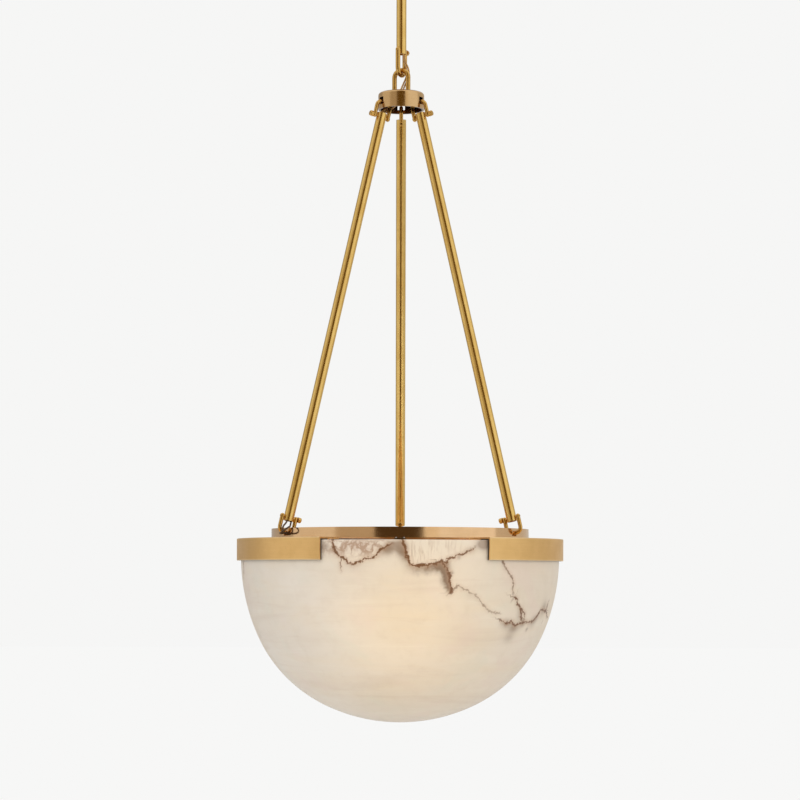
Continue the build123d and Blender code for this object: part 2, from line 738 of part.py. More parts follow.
# the free bends between the tube's mouth and the ring's window, then along the spider to the cup
wire_high = window_z + 0.95
wire_low = window_z - 1.75
beside_bar = bar_radius + wire_radius + 0.35
bend_wires = [
    wire(
        [
            at_tube(left, -wire_exit_u, wire_exit_t, 1.0 + wire_end_gap, True),
            at_tube(left, -wire_exit_u, wire_exit_t, 6.8, True),
            round_ring(left, 160.5, 6.3, ring_top + 1.5),
            round_ring(left, 168.2, 18.9, ring_top + 1.1),
            round_ring(left, 177.7, 15.0, ring_top - 6.1),
            round_ring(left, 174.0, 3.2, ring_top - 7.7),
            round_ring(left, 161.5, beside_bar, wire_high),
            round_ring(left, 150.0, beside_bar, wire_high),
        ]
    ),
    wire(
        [
            at_tube(left, wire_exit_u, wire_exit_t, 1.0 + wire_end_gap, True),
            at_tube(left, wire_exit_u, wire_exit_t, 6.8, True),
            round_ring(left, 170.3, 5.4, ring_top + 1.7),
            round_ring(left, 171.0, 6.6, ring_top - 4.1),
            round_ring(left, 167.1, 5.8, ring_top - 8.4),
            round_ring(left, 161.5, beside_bar, wire_low),
            round_ring(left, 150.0, beside_bar, wire_low),
        ]
    ),
]
save("lead_bend", *bend_wires)

on_arm = plate_low + wire_radius + wire_gap
bowl_wires = []
for height, t_arm, t_hole in ((wire_high, 3.6, wire_spread), (wire_low, 0.4, -wire_spread)):
    bowl_wires.append(
        wire(
            [
                round_ring(left, 149.5, beside_bar, height),
                round_ring(left, 139.0, t_arm + 0.4, (height + on_arm) / 2),
                round_ring(left, 124.0, t_arm, on_arm),
                round_ring(left, 85.0, t_hole + 0.3, on_arm),
                round_ring(left, 47.0, t_hole - 0.2, on_arm),
                round_ring(left, 24.0, t_hole, on_arm),
                round_ring(left, 17.0, t_hole, on_arm - 0.3),
                round_ring(left, 14.0, t_hole, on_arm - 6.0),
                round_ring(left, 13.2, t_hole, on_arm - 12.5),
            ]
        )
    )
save("lead_bowl", *bowl_wires)
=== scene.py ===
import math

import bpy
import numpy as np
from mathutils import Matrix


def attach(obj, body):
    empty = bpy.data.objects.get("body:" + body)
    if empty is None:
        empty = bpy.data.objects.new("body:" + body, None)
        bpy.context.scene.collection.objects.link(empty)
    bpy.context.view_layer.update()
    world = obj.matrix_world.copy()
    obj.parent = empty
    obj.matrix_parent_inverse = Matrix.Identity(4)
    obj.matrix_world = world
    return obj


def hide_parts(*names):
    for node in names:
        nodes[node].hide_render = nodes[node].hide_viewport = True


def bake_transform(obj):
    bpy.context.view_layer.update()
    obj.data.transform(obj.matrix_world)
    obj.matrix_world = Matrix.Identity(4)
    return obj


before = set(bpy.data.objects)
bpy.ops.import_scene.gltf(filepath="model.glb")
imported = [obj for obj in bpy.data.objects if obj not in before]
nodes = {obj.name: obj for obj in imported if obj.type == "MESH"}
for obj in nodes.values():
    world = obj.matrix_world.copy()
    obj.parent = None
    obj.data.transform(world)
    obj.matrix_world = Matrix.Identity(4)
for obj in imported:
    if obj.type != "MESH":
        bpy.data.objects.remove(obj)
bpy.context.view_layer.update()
mm = 0.001
print("frame loaded:", len(nodes), "nodes")


class Field:
    # one value in a node tree; arithmetic on it adds the Math nodes

    def __init__(self, sheet, socket):
        self.sheet = sheet
        self.socket = socket

    def maths(self, operation, *others, clamp=False):
        values = {i: v for i, v in enumerate((self,) + others)}
        return self.sheet.add("ShaderNodeMath", {"operation": operation, "use_clamp": clamp}, values)

    def __add__(self, other):
        return self.maths("ADD", other)

    def __radd__(self, other):
        return self.maths("ADD", other)

    def __sub__(self, other):
        return self.maths("SUBTRACT", other)

    def __rsub__(self, other):
        return self.sheet.add("ShaderNodeMath", {"operation": "SUBTRACT"}, {0: other, 1: self})

    def __mul__(self, other):
        return self.maths("MULTIPLY", other)

    def __rmul__(self, other):
        return self.maths("MULTIPLY", other)

    def __truediv__(self, other):
        return self.maths("DIVIDE", other)

    def __pow__(self, other):
        return self.maths("POWER", other)

    def __abs__(self):
        return self.maths("ABSOLUTE")

    def cut(self):
        # kept between 0 and 1
        return self.maths("ADD", 0.0, clamp=True)

    def largest(self, other):
        return self.maths("MAXIMUM", other)

    def step(self, low, high):
        # a smooth rise from 0 at low to 1 at high
        rise = self.sheet.add(
            "ShaderNodeMapRange",
            {"interpolation_type": "SMOOTHSTEP"},
            {"Value": self, "From Min": min(low, high), "From Max": max(low, high)},
        )
        return rise if low < high else 1 - rise


class Finish:
    # a material and the nodes that make it

    def __init__(self, name):
        self.material = bpy.data.materials.new(name)
        self.material.use_nodes = True
        self.tree = self.material.node_tree
        self.shader = self.tree.nodes["Principled BSDF"]
        self.place = self.tree.nodes.new("ShaderNodeTexCoord").outputs["Object"]

    def add(self, kind, settings=None, inputs=None, out=0):
        node = self.tree.nodes.new(kind)
        for key, value in (settings or {}).items():
            setattr(node, key, value)
        for key, value in (inputs or {}).items():
            self.feed(node.inputs[key], value)
        return Field(self, node.outputs[out])

    def feed(self, socket, value):
        if isinstance(value, Field):
            self.tree.links.new(value.socket, socket)
        elif isinstance(value, bpy.types.NodeSocket):
            self.tree.links.new(value, socket)
        elif isinstance(value, (tuple, list)) and len(value) == 3 and len(socket.default_value) == 4:
            socket.default_value = (*value, 1)
        else:
            socket.default_value = value

    def set(self, **values):
        # sockets of the main shader, by name with spaces left out
        for socket in self.shader.inputs:
            key = socket.name.replace(" ", "")
            if key in values:
                self.feed(socket, values.pop(key))
        if values:
            raise ValueError(f"no socket named {list(values)}")
        return self.material

    def stretch(self, x, y, z):
        return self.add("ShaderNodeMapping", {}, {"Vector": self.place, "Scale": (x, y, z)})

    def parts(self, vector):
        # the x, y and z of a vector, each as a field
        node = self.add("ShaderNodeSeparateXYZ", {}, {"Vector": vector}).socket.node
        return [Field(self, socket) for socket in node.outputs]

    def noise(self, scale, detail=3.0, rough=0.5, vector=None, distortion=0.0):
        inputs = {
            "Vector": vector or self.place,
            "Scale": scale,
            "Detail": detail,
            "Roughness": rough,
            "Distortion": distortion,
        }
        return self.add("ShaderNodeTexNoise", {}, inputs)

    def mix(self, factor, first, second, blend="MIX"):
        # the node takes its colours at sockets 6 and 7 and gives one at 2
        settings = {"data_type": "RGBA", "blend_type": blend}
        return self.add("ShaderNodeMix", settings, {0: factor, 6: first, 7: second}, out=2)

    def bump(self, height, strength, distance):
        inputs = {"Height": height, "Strength": strength, "Distance": distance}
        return self.add("ShaderNodeBump", {}, inputs)


def smoothPiece(name, coords, faces):
    mesh = bpy.data.meshes.new(name)
    mesh.from_pydata(coords, [], faces)
    mesh.polygons.foreach_set("use_smooth", np.ones(len(faces), bool))
    mesh.update()
    piece = bpy.data.objects.new(name, mesh)
    bpy.context.scene.collection.objects.link(piece)
    return piece


def closedFaces(rows, columns, base=0):
    # a grid that closes round, whose first and last rows are closed by the two vertices after it
    index = base + np.arange(rows * columns).reshape(rows, columns)
    after = np.roll(index, -1, axis=1)
    quads = np.stack([index[:-1], after[:-1], after[1:], index[1:]], -1).reshape(-1, 4)
    pole = base + rows * columns
    faces = quads.tolist()
    faces += [[pole, b, a] for a, b in zip(index[0].tolist(), after[0].tolist())]
    faces += [[pole + 1, a, b] for a, b in zip(index[-1].tolist(), after[-1].tolist())]
    return faces


view = {
    "distance": 3.175,
    "height": -0.8537,
    "lens": 112.5,
    "sensor": 36.0,
    "rise": 0.225,
    "roll": -0.15,
    "farthest": 100,
}
camera = bpy.data.objects.new("camera", bpy.data.cameras.new("camera"))
bpy.context.scene.collection.objects.link(camera)
camera.location = (0, -view["distance"], view["height"])
camera.rotation_euler = (math.radians(90), math.radians(view["roll"]), 0)
camera.data.lens = view["lens"]
camera.data.sensor_width = view["sensor"]
camera.data.shift_y = view["rise"]
camera.data.clip_end = view["farthest"]
bpy.context.scene.camera = camera
bpy.context.scene.view_settings.view_transform = "Standard"

studio = {
    "backdrop": (0.921, 0.921, 0.914),
    "worldLight": 0.62,
    "floorHeight": -1.75,
    "floorSize": 60.0,
    "floorGlow": (0.945, 0.945, 0.938),
    "floorGlowShare": 0.96,
    "cardRadius": 4.5,
    "cardSteps": 24,
    # each card: from and to in degrees round from the front, from and to in height, colour
    "cards": [
        (-22.0, 20.0, -3.2, -0.3, (0.075, 0.047, 0.022)),
        (-22.0, 20.0, -0.3, 4.8, (0.150, 0.088, 0.015)),
        (-58.0, -22.0, -3.2, 2.6, (0.52, 0.46, 0.38)),
        (20.0, 34.0, -3.2, 2.6, (0.86, 0.82, 0.73)),
        (-108.0, -58.0, -3.2, 2.6, (0.76, 0.74, 0.70)),
        (-170.0, -108.0, -3.2, 2.6, (0.44, 0.42, 0.39)),
        (92.0, 168.0, -3.2, 2.6, (0.60, 0.58, 0.54)),
    ],
    # the card that lies low: from and to in degrees, nearest and farthest radius, height, colour
    "lowCard": (-22.0, 20.0, 0.9, 4.5, -1.72, (0.125, 0.074, 0.013)),
    # each lamp: place, size, watts
    "lamps": [
        ((-2.6, -3.0, 1.2), 2.4, 46.0),
        ((2.8, -2.6, 0.6), 2.4, 42.0),
        ((0.0, -1.0, 2.6), 2.0, 20.0),
    ],
    "lampColour": (1.0, 0.985, 0.96),
    "lampAim": (0, 0, -0.7),
}

world = bpy.data.worlds.new("studio")
world.use_nodes = True
bpy.context.scene.world = world
worldTree = world.node_tree
worldBack = worldTree.nodes["Background"]
worldRay = worldTree.nodes.new("ShaderNodeLightPath")
worldSeen = worldTree.nodes.new("ShaderNodeMath")
worldSeen.operation = "MAXIMUM"
worldSeenToo = worldTree.nodes.new("ShaderNodeMath")
worldSeenToo.operation = "MAXIMUM"
worldTree.links.new(worldRay.outputs["Is Camera Ray"], worldSeen.inputs[0])
worldTree.links.new(worldRay.outputs["Is Glossy Ray"], worldSeen.inputs[1])
worldTree.links.new(worldSeen.outputs[0], worldSeenToo.inputs[0])
worldTree.links.new(worldRay.outputs["Is Transmission Ray"], worldSeenToo.inputs[1])
worldLevel = worldTree.nodes.new("ShaderNodeMapRange")
worldLevel.inputs["To Min"].default_value = studio["worldLight"]
worldLevel.inputs["To Max"].default_value = 1.0
worldTree.links.new(worldSeenToo.outputs[0], worldLevel.inputs["Value"])
worldTree.links.new(worldLevel.outputs[0], worldBack.inputs["Strength"])
worldBack.inputs["Color"].default_value = (*studio["backdrop"], 1)


def gridPiece(name, points):
    # points is an array of rows by columns by 3; each cell of the grid becomes a face
    rows, columns, _ = points.shape
    index = np.arange(rows * columns).reshape(rows, columns)
    corners = [index[:-1, :-1], index[:-1, 1:], index[1:, 1:], index[1:, :-1]]
    quads = np.stack(corners, axis=-1).reshape(-1, 4)
    return smoothPiece(name, points.reshape(-1, 3).tolist(), quads.tolist())


def plainLight(name, colour):
    # an even glow that doesn't depend on the lamps
    material = bpy.data.materials.new(name)
    material.use_nodes = True
    tree = material.node_tree
    tree.nodes.remove(tree.nodes["Principled BSDF"])
    glow = tree.nodes.new("ShaderNodeEmission")
    glow.inputs["Color"].default_value = (*colour, 1)
    tree.links.new(glow.outputs[0], tree.nodes["Material Output"].inputs["Surface"])
    return material


def reflectionCard(name, start, end, radius, height, colour):
    # a card that only reflections see: an arc about the pendant's axis; its two long edges
    # differ in radius or in height, which is then a column of two
    turn = np.radians(np.linspace(start, end, studio["cardSteps"]))[None, :]
    arc = np.broadcast_arrays(radius * np.sin(turn), -radius * np.cos(turn), height)
    card = gridPiece(name, np.stack(arc, axis=-1))
    card.data.materials.append(plainLight(name, colour))
    card.visible_camera = False
    card.visible_diffuse = False
    card.visible_shadow = False
    card.visible_transmission = False


for number, (start, end, low, high, colour) in enumerate(studio["cards"]):
    edges = np.array([[low], [high]])
    reflectionCard(f"card_{number}", start, end, studio["cardRadius"], edges, colour)
# the dark card goes on along the floor, for brass that leans the other way
start, end, nearEdge, farEdge, height, colour = studio["lowCard"]
reflectionCard("card_low", start, end, np.array([[nearEdge], [farEdge]]), height, colour)

half = studio["floorSize"] / 2
floor = gridPiece("floor", np.array(
    [[[x, y, studio["floorHeight"]] for x in (-half, half)] for y in (-half, half)]
))
floorFinish = bpy.data.materials.new("floor")
floorFinish.use_nodes = True
floorTree = floorFinish.node_tree
floorShader = floorTree.nodes["Principled BSDF"]
floorShader.inputs["Base Color"].default_value = (*studio["backdrop"], 1)
floorShader.inputs["Roughness"].default_value = 1.0
floorGlow = floorTree.nodes.new("ShaderNodeEmission")
floorGlow.inputs["Color"].default_value = (*studio["floorGlow"], 1)
floorRay = floorTree.nodes.new("ShaderNodeLightPath")
floorShare = floorTree.nodes.new("ShaderNodeMath")
floorShare.operation = "MULTIPLY"
floorShare.inputs[1].default_value = studio["floorGlowShare"]
floorMix = floorTree.nodes.new("ShaderNodeMixShader")
floorTree.links.new(floorRay.outputs["Is Camera Ray"], floorShare.inputs[0])
floorTree.links.new(floorShare.outputs[0], floorMix.inputs[0])
floorTree.links.new(floorShader.outputs[0], floorMix.inputs[1])
floorTree.links.new(floorGlow.outputs[0], floorMix.inputs[2])
floorTree.links.new(floorMix.outputs[0], floorTree.nodes["Material Output"].inputs["Surface"])
floor.data.materials.append(floorFinish)

for number, (spot, size, watts) in enumerate(studio["lamps"]):
    name = f"softbox_{number}"
    lamp = bpy.data.objects.new(name, bpy.data.lights.new(name, "AREA"))
    lamp.data.shape = "SQUARE"
    lamp.data.size = size
    lamp.data.energy = watts
    lamp.data.color = studio["lampColour"]
    lamp.location = spot
    aim = np.array(studio["lampAim"]) - np.array(spot)
    aim = aim / np.linalg.norm(aim)
    lamp.rotation_euler = (math.acos(-aim[2]), 0, math.atan2(aim[1], aim[0]) - math.pi / 2)
    lamp.visible_glossy = False
    bpy.context.scene.collection.objects.link(lamp)
print("studio ready")


brass = {
    "tube": {
        "base": (0.87, 0.60, 0.205), "dark": (0.68, 0.40, 0.095), "grain": (500, 500, 14),
        "rough": 0.15, "patch": 22.0, "bump": 0.03,
    },
    "band": {
        "base": (0.905, 0.585, 0.245), "dark": (0.79, 0.49, 0.185), "grain": (26, 26, 1400),
        "rough": 0.31, "patch": 30.0, "bump": 0.10,
    },
    "ring": {
        "base": (0.86, 0.57, 0.32), "dark": (0.74, 0.47, 0.24), "grain": (26, 26, 1400),
        "rough": 0.07, "patch": 30.0, "bump": 0.08,
    },
    "hub": {
        "base": (0.70, 0.46, 0.225), "dark": (0.60, 0.375, 0.165), "grain": (26, 26, 1400),
        "rough": 0.13, "patch": 30.0, "bump": 0.06,
    },
    "small": {
        "base": (0.76, 0.47, 0.14), "dark": (0.50, 0.27, 0.06), "grain": (220, 220, 220),
        "rough": 0.18, "patch": 60.0, "bump": 0.08,
    },
}
# the tarnish that all of them share, and the painted shade inside and painted highlight on edges; each
# edges pair is where a smooth rise starts and ends
patinaAndPaintedLight = {
    "cloudEdges": (0.36, 0.68),
    "cloudShare": 0.50,
    "cloudRough": 0.06,
    "streakEdges": (0.30, 0.72),
    "streakShare": 0.28,
    "streakRough": 0.07,
    "speckScale": 900.0,
    "speckEdges": (0.66, 0.74),
    "speckShare": 0.22,
    "speckTone": (0.16, 0.085, 0.03),
    # the painted shade on inner faces: how soft its edge is and its tone
    "insideEdge": 0.0006,
    "insideTone": (0.16, 0.065, 0.018),
    # the painted highlight along edges: its peak, fall, share and tone
    "wornPeak": 1.6,
    "wornFall": 900.0,  # per metre away from the edge
    "wornShare": 0.55,
    "wornTone": (0.98, 0.74, 0.42),
    "depth": 0.0002,
}


def agedBrass(name, kind, shadeInside=None, highlightEdges=()):
    # aged brass: cloudy tarnish, fine brushed streaks along the grain, tiny dark specks; where asked,
    # painted shade on the inner faces and a painted highlight along edges
    look = brass[kind]
    finish = Finish(name)
    cloud = finish.noise(look["patch"], 4.0, 0.62).step(*patinaAndPaintedLight["cloudEdges"])
    streak = finish.noise(1.0, 3.0, 0.6, vector=finish.stretch(*look["grain"]))
    speck = finish.noise(patinaAndPaintedLight["speckScale"], 2.0, 0.5).step(*patinaAndPaintedLight["speckEdges"])
    tone = finish.mix(cloud * patinaAndPaintedLight["cloudShare"], look["base"], look["dark"])
    streakShare = streak.step(*patinaAndPaintedLight["streakEdges"]) * patinaAndPaintedLight["streakShare"]
    tone = finish.mix(streakShare, tone, look["dark"])
    tone = finish.mix(speck * patinaAndPaintedLight["speckShare"], tone, patinaAndPaintedLight["speckTone"])
    if shadeInside:
        # faces nearer the axis than this radius get a darker tone: painted shade for the hollow inside
        # the hub
        flat = finish.stretch(1, 1, 0)
        across = finish.add("ShaderNodeVectorMath", {"operation": "LENGTH"}, {0: flat}, out=1)
        inside = across.step(shadeInside, shadeInside - patinaAndPaintedLight["insideEdge"])
        tone = finish.mix(inside, tone, patinaAndPaintedLight["insideTone"])
    for height in highlightEdges:
        # an edge at this height gets a painted highlight: a narrow lighter band where its rounded edge
        # would catch the light
        apart = abs(finish.parts(finish.place)[2] - height)
        edgeHighlight = (patinaAndPaintedLight["wornPeak"] - apart * patinaAndPaintedLight["wornFall"]).cut()
        tone = finish.mix(edgeHighlight * patinaAndPaintedLight["wornShare"], tone, patinaAndPaintedLight["wornTone"])
    rough = look["rough"] + cloud * patinaAndPaintedLight["cloudRough"] + streak * patinaAndPaintedLight["streakRough"]
    return finish.set(
        BaseColor=tone,
        Metallic=1.0,
        Roughness=rough,
        Normal=finish.bump(streak, look["bump"], patinaAndPaintedLight["depth"]),
    )


tubeBrass = agedBrass("aged_brass_tube", "tube")
# the clamps get a painted highlight along their top and bottom edges
clampBrass = agedBrass("brushed_brass_clamp", "band", highlightEdges=(-0.802, -0.8295))
bandBrass = agedBrass("brushed_brass_canopy", "band")
ringBrass = agedBrass("brushed_brass_ring", "ring")
# the hub's inner faces get painted shade, darker than its outer ones
hubBrass = agedBrass("brushed_brass_hub", "hub", shadeInside=0.0285)
smallBrass = agedBrass("aged_brass_fitting", "small")


plating = {
    "scale": 160.0, "edges": (0.35, 0.7), "share": 0.5, "shade": 0.72,
    "rough": 0.18, "bump": 0.08, "depth": 0.0002,
}
moulding = {
    "grainScale": 700.0, "cloudScale": 45.0, "edges": (0.3, 0.7), "shade": 0.8,
    "rough": 0.1, "bump": 0.12, "depth": 0.0001,
}


def plated(name, base, roughness):
    # plated or rolled metal with a faint bloom
    finish = Finish(name)
    bloom = finish.noise(plating["scale"], 4.0, 0.7)
    darker = tuple(plating["shade"] * part for part in base)
    tone = finish.mix(bloom.step(*plating["edges"]) * plating["share"], base, darker)
    return finish.set(
        BaseColor=tone,
        Metallic=1.0,
        Roughness=roughness + bloom * plating["rough"],
        Normal=finish.bump(bloom, plating["bump"], plating["depth"]),
    )


def moulded(name, base, roughness, share=0.24):
    # a moulded, painted or fired surface; share is how far its clouds go towards the darker tone
    finish = Finish(name)
    grain = finish.noise(moulding["grainScale"], 3.0, 0.6)
    cloud = finish.noise(moulding["cloudScale"], 3.0, 0.5)
    darker = tuple(moulding["shade"] * part for part in base)
    tone = finish.mix(cloud.step(*moulding["edges"]) * share, base, darker)
    return finish.set(
        BaseColor=tone,
        Roughness=roughness + grain * moulding["rough"],
        Normal=finish.bump(grain, moulding["bump"], moulding["depth"]),
    )


zincPlate = plated("zinc_plate", (0.60, 0.60, 0.58), 0.32)
bronzePlate = plated("bronze_plate", (0.15, 0.095, 0.055), 0.40)
rolledShell = plated("rolled_shell", (0.72, 0.72, 0.71), 0.25)
greenScrew = moulded("green_screw", (0.05, 0.22, 0.08), 0.4)
porcelain = moulded("porcelain", (0.86, 0.85, 0.81), 0.22, share=0.10)
softLiner = moulded("soft_liner", (0.035, 0.03, 0.027), 0.8)
wireShell = moulded("wire_connector", (0.78, 0.75, 0.68), 0.45)


globe = {
    "scale": 260.0, "edges": (0.3, 0.7), "share": 0.2,
    "base": (0.93, 0.88, 0.78), "second": (0.88, 0.80, 0.66), "rough": 0.5, "glow": 1.6,
}


def frosted():
    # a lit frosted globe: a warm, slightly clouded glow
    finish = Finish("frosted_globe")
    grain = finish.noise(globe["scale"], 3.0, 0.6).step(*globe["edges"])
    tone = finish.mix(grain * globe["share"], globe["base"], globe["second"])
    return finish.set(
        BaseColor=tone,
        Roughness=globe["rough"],
        EmissionColor=tone,
        EmissionStrength=globe["glow"],
    )


globeGlass = frosted()
insulation = {"scale": 120.0, "edges": (0.35, 0.65), "coat": 0.1, "bump": 0.05, "depth": 0.0003}


def sheath(name, base, second, roughness):
    # plastic insulation with slight waves of tone along it
    finish = Finish(name)
    wave = finish.noise(insulation["scale"], 3.0, 0.5)
    tone = finish.mix(wave.step(*insulation["edges"]), base, second)
    return finish.set(
        BaseColor=tone,
        Roughness=roughness,
        CoatWeight=insulation["coat"],
        Normal=finish.bump(wave, insulation["bump"], insulation["depth"]),
    )


goldSheath = sheath("gold_sheath", (0.40, 0.20, 0.05), (0.56, 0.32, 0.10), 0.42)
# the same gold cord in a darker tone: painted shade, for its stretches down the left tube, round its
# bend and round the ring
shadedGoldSheath = sheath("gold_sheath_painted_shade", (0.055, 0.028, 0.014), (0.09, 0.045, 0.02), 0.38)

finishes = {
    "tube_": tubeBrass,
    "down_rod": tubeBrass,
    "ring": ringBrass,
    "hub": hubBrass,
    "clamp_screws": zincPlate,
    "clamp_": clampBrass,
    "canopy": bandBrass,
    "cap_nuts": smallBrass,
    "swivel_": smallBrass,
    "lamp_cup": bandBrass,
    "upper_": smallBrass,
    "lower_": smallBrass,
    "link_": smallBrass,
    "hub_loop": smallBrass,
    "ceiling_plate": zincPlate,
    "studs": zincPlate,
    "earth_screw": greenScrew,
    "lock_nut": zincPlate,
    "loop_nuts": zincPlate,
    "nipple_nuts": bronzePlate,
    "lamp_nipple": bronzePlate,
    "spider": bronzePlate,
    "lamp_holder": porcelain,
    "lamp_caps": rolledShell,
    "lamp_globe": globeGlass,
    "liner_": softLiner,
    "wire_connectors": wireShell,
    "lead_": goldSheath,
}
for name, piece in nodes.items():
    fitting = [key for key in finishes if name.startswith(key)]
    if not fitting:
        continue
    chosen = finishes[max(fitting, key=len)]
    piece.data.materials.clear()
    piece.data.materials.append(chosen)
print("brass and fittings finished")


bowl = {
    "rim": -805.4089,
    "depth": 228.7,
    "wall": 13.0,
    "rimRound": 1.6,
    "rimSteps": 6,
    "rimGap": 0.3,  # from the rounding's foot down to the next row of the wall
    "arcs": [(217.39, 26.6), (177.5, 65.0), (244.4, 110.0)],
    "columns": 540,
    "outerStep": 2.5,
    "innerStep": 12.0,
    "glowPlaces": [(270.0, 182.0, -908.0), (30.0, 182.0, -908.0), (150.0, 182.0, -908.0)],
    "glowReach": 95.0,
}


def bowlProfile(inset, step):
    # three tangent arcs, each (radius, end angle), followed from the foot to the rim in even steps
    centre = np.array([0.0, bowl["rim"] - bowl["depth"] + bowl["arcs"][0][0]])
    angle = 0.0
    line = []
    for number, (radius, end) in enumerate(bowl["arcs"]):
        if number:
            shift = bowl["arcs"][number - 1][0] - radius
            centre = centre + shift * np.array([math.sin(angle), -math.cos(angle)])
        reach = radius - inset
        last = math.radians(end)
        if number == len(bowl["arcs"]) - 1:
            last = math.acos((centre[1] - bowl["rim"]) / reach)
        count = max(2, int(reach * (last - angle) / step))
        turns = np.linspace(angle, last, count + 1)[(1 if number else 0):]
        arc = [centre[0] + reach * np.sin(turns), centre[1] - reach * np.cos(turns)]
        line.append(np.stack(arc, -1))
        angle = last
    return np.concatenate(line)


# a network of natural cracks, each a run of points (degrees round from the front, mm below the rim),
# with its width in mm and how dark it is
cracks = {
    "leftEdge": (
        [(-24.0, 5.6), (-23.6, -0.4), (-23.1, -11.2), (-22.0, -17.2), (-20.6, -22.0), (-19.8, -20.8),
         (-18.0, -26.8), (-15.9, -29.2), (-13.4, -25.7), (-12.0, -22.1), (-10.3, -22.7), (-8.6, -20.9),
         (-7.5, -15.0), (-6.5, -11.4), (-5.5, -10.8), (-4.1, -6.7), (-1.8, -3.1)],
        1.3, 0.95,
    ),
    "leftDrop": (
        [(-20.6, -22.0), (-20.9, -28.0), (-20.4, -34.0), (-20.7, -42.3)],
        0.6, 0.62,
    ),
    "middle": (
        [(0.3, 4.1), (0.8, -1.9), (1.3, -6.7), (2.2, -11.4), (2.1, -16.2), (2.6, -22.1), (3.3, -29.3),
         (4.3, -29.9), (5.4, -31.6), (7.7, -30.4), (9.1, -31.0), (10.8, -28.0), (12.6, -28.6),
         (14.0, -25.6), (15.4, -31.6), (16.1, -33.4), (16.8, -37.6), (17.3, -43.5), (17.2, -48.3),
         (17.7, -51.9), (18.2, -59.0), (17.9, -63.8), (16.1, -67.4)],
        1.35, 1.0,
    ),
    "middleRight": (
        [(18.2, -60.2), (19.3, -59.0), (20.3, -54.3), (21.1, -55.5), (22.3, -59.1), (23.8, -60.3),
         (25.1, -63.9), (26.7, -65.1), (28.0, -67.5), (29.3, -72.3), (31.8, -79.6), (33.9, -85.7),
         (37.7, -88.2), (40.7, -89.5)],
        0.95, 0.42,
    ),
    "topRight": (
        [(14.7, -26.8), (16.1, -28.0), (16.4, -23.2), (17.9, -20.8), (18.8, -21.4), (19.7, -17.2),
         (22.2, -17.2), (23.3, -14.2), (24.5, -13.6), (26.0, -10.0), (27.2, -6.3)],
        1.1, 0.95,
    ),
    "rightDrop": (
        [(38.1, -1.2), (37.8, -12.1), (38.0, -25.4), (39.0, -32.6), (40.4, -36.2), (41.5, -41.0),
         (43.1, -47.1), (43.8, -51.9), (43.6, -58.0), (44.1, -64.1), (44.7, -68.9)],
        1.15, 0.62,
    ),
    "rightFork": (
        [(44.7, -68.9), (43.9, -72.6), (43.7, -76.2)],
        0.8, 0.7,
    ),
    "rightLink": (
        [(44.7, -68.9), (47.0, -71.4), (46.9, -76.3), (49.7, -82.5), (50.9, -92.3), (53.4, -101.0)],
        1.25, 0.95,
    ),
    "rightStrand": (
        [(49.7, -82.5), (52.9, -88.7), (53.5, -94.8), (53.4, -101.0)],
        0.9, 0.95,
    ),
    "rightRun": (
        [(40.3, -96.8), (41.5, -98.0), (43.8, -100.6), (46.3, -98.2), (48.7, -103.2), (52.1, -100.9),
         (54.5, -99.2), (57.5, -99.9), (60.5, -98.8), (62.1, -94.0), (63.8, -89.1), (64.7, -84.2),
         (71.1, -86.9), (71.0, -81.9), (71.0, -76.9), (72.5, -72.0)],
        1.3, 1.0,
    ),
    "rightEnd": (
        [(71.1, -86.9), (74.5, -92.0), (78.9, -96.0)],
        0.9, 0.8,
    ),
}
# which cracks share one signed distance; those in one group lie well apart
crackGroups = {
    "crackA": ["leftEdge", "rightDrop", "rightStrand"],
    "crackB": ["middle", "rightRun"],
    "crackC": ["leftDrop", "topRight", "rightLink"],
    "crackD": ["middleRight", "rightEnd", "rightFork"],
}


crackLook = {
    "degree": 3.4,  # mm that one degree counts for along a crack
    "tipFade": 9.0,
    "rootLead": 4.0,  # so much of the fade at the start lies before the crack's first point
    "rootFade": 6.0,
    "reach": 19.0,
    "reachFade": 6.0,
}
farCracks = {
    "seed": 11,
    "turnSpread": 1.7,
    "fallSpread": 3.0,
    "width": 0.75,
    "dark": 0.7,
    # each: start in degrees, group, mean fall, steps, mean turn
    "walks": [
        (112, "crackA", 5, 20, 1.2), (150, "crackB", 6, 15, -0.9), (176, "crackC", 5, 22, 1.0),
        (214, "crackA", 4, 14, 1.3), (236, "crackD", 5, 18, -1.2), (262, "crackB", 4, 16, 0.9),
        (290, "crackC", 5, 12, -1.0), (128, "crackD", 7, 11, 1.8),
    ],
}


def wanderingCrack(chance, start, fall, steps, sway):
    # a crack on the far side: a random walk that goes down and aside
    turns = start + np.cumsum(chance.normal(sway, farCracks["turnSpread"], steps))
    falls = -np.cumsum(np.abs(chance.normal(fall, farCracks["fallSpread"], steps)))
    return list(zip(turns.tolist(), falls.tolist()))


chance = np.random.default_rng(farCracks["seed"])
for number, (start, group, fall, steps, sway) in enumerate(farCracks["walks"]):
    name = f"far_{number}"
    walk = wanderingCrack(chance, start, fall, steps, sway)
    cracks[name] = (walk, farCracks["width"], farCracks["dark"])
    crackGroups[group].append(name)


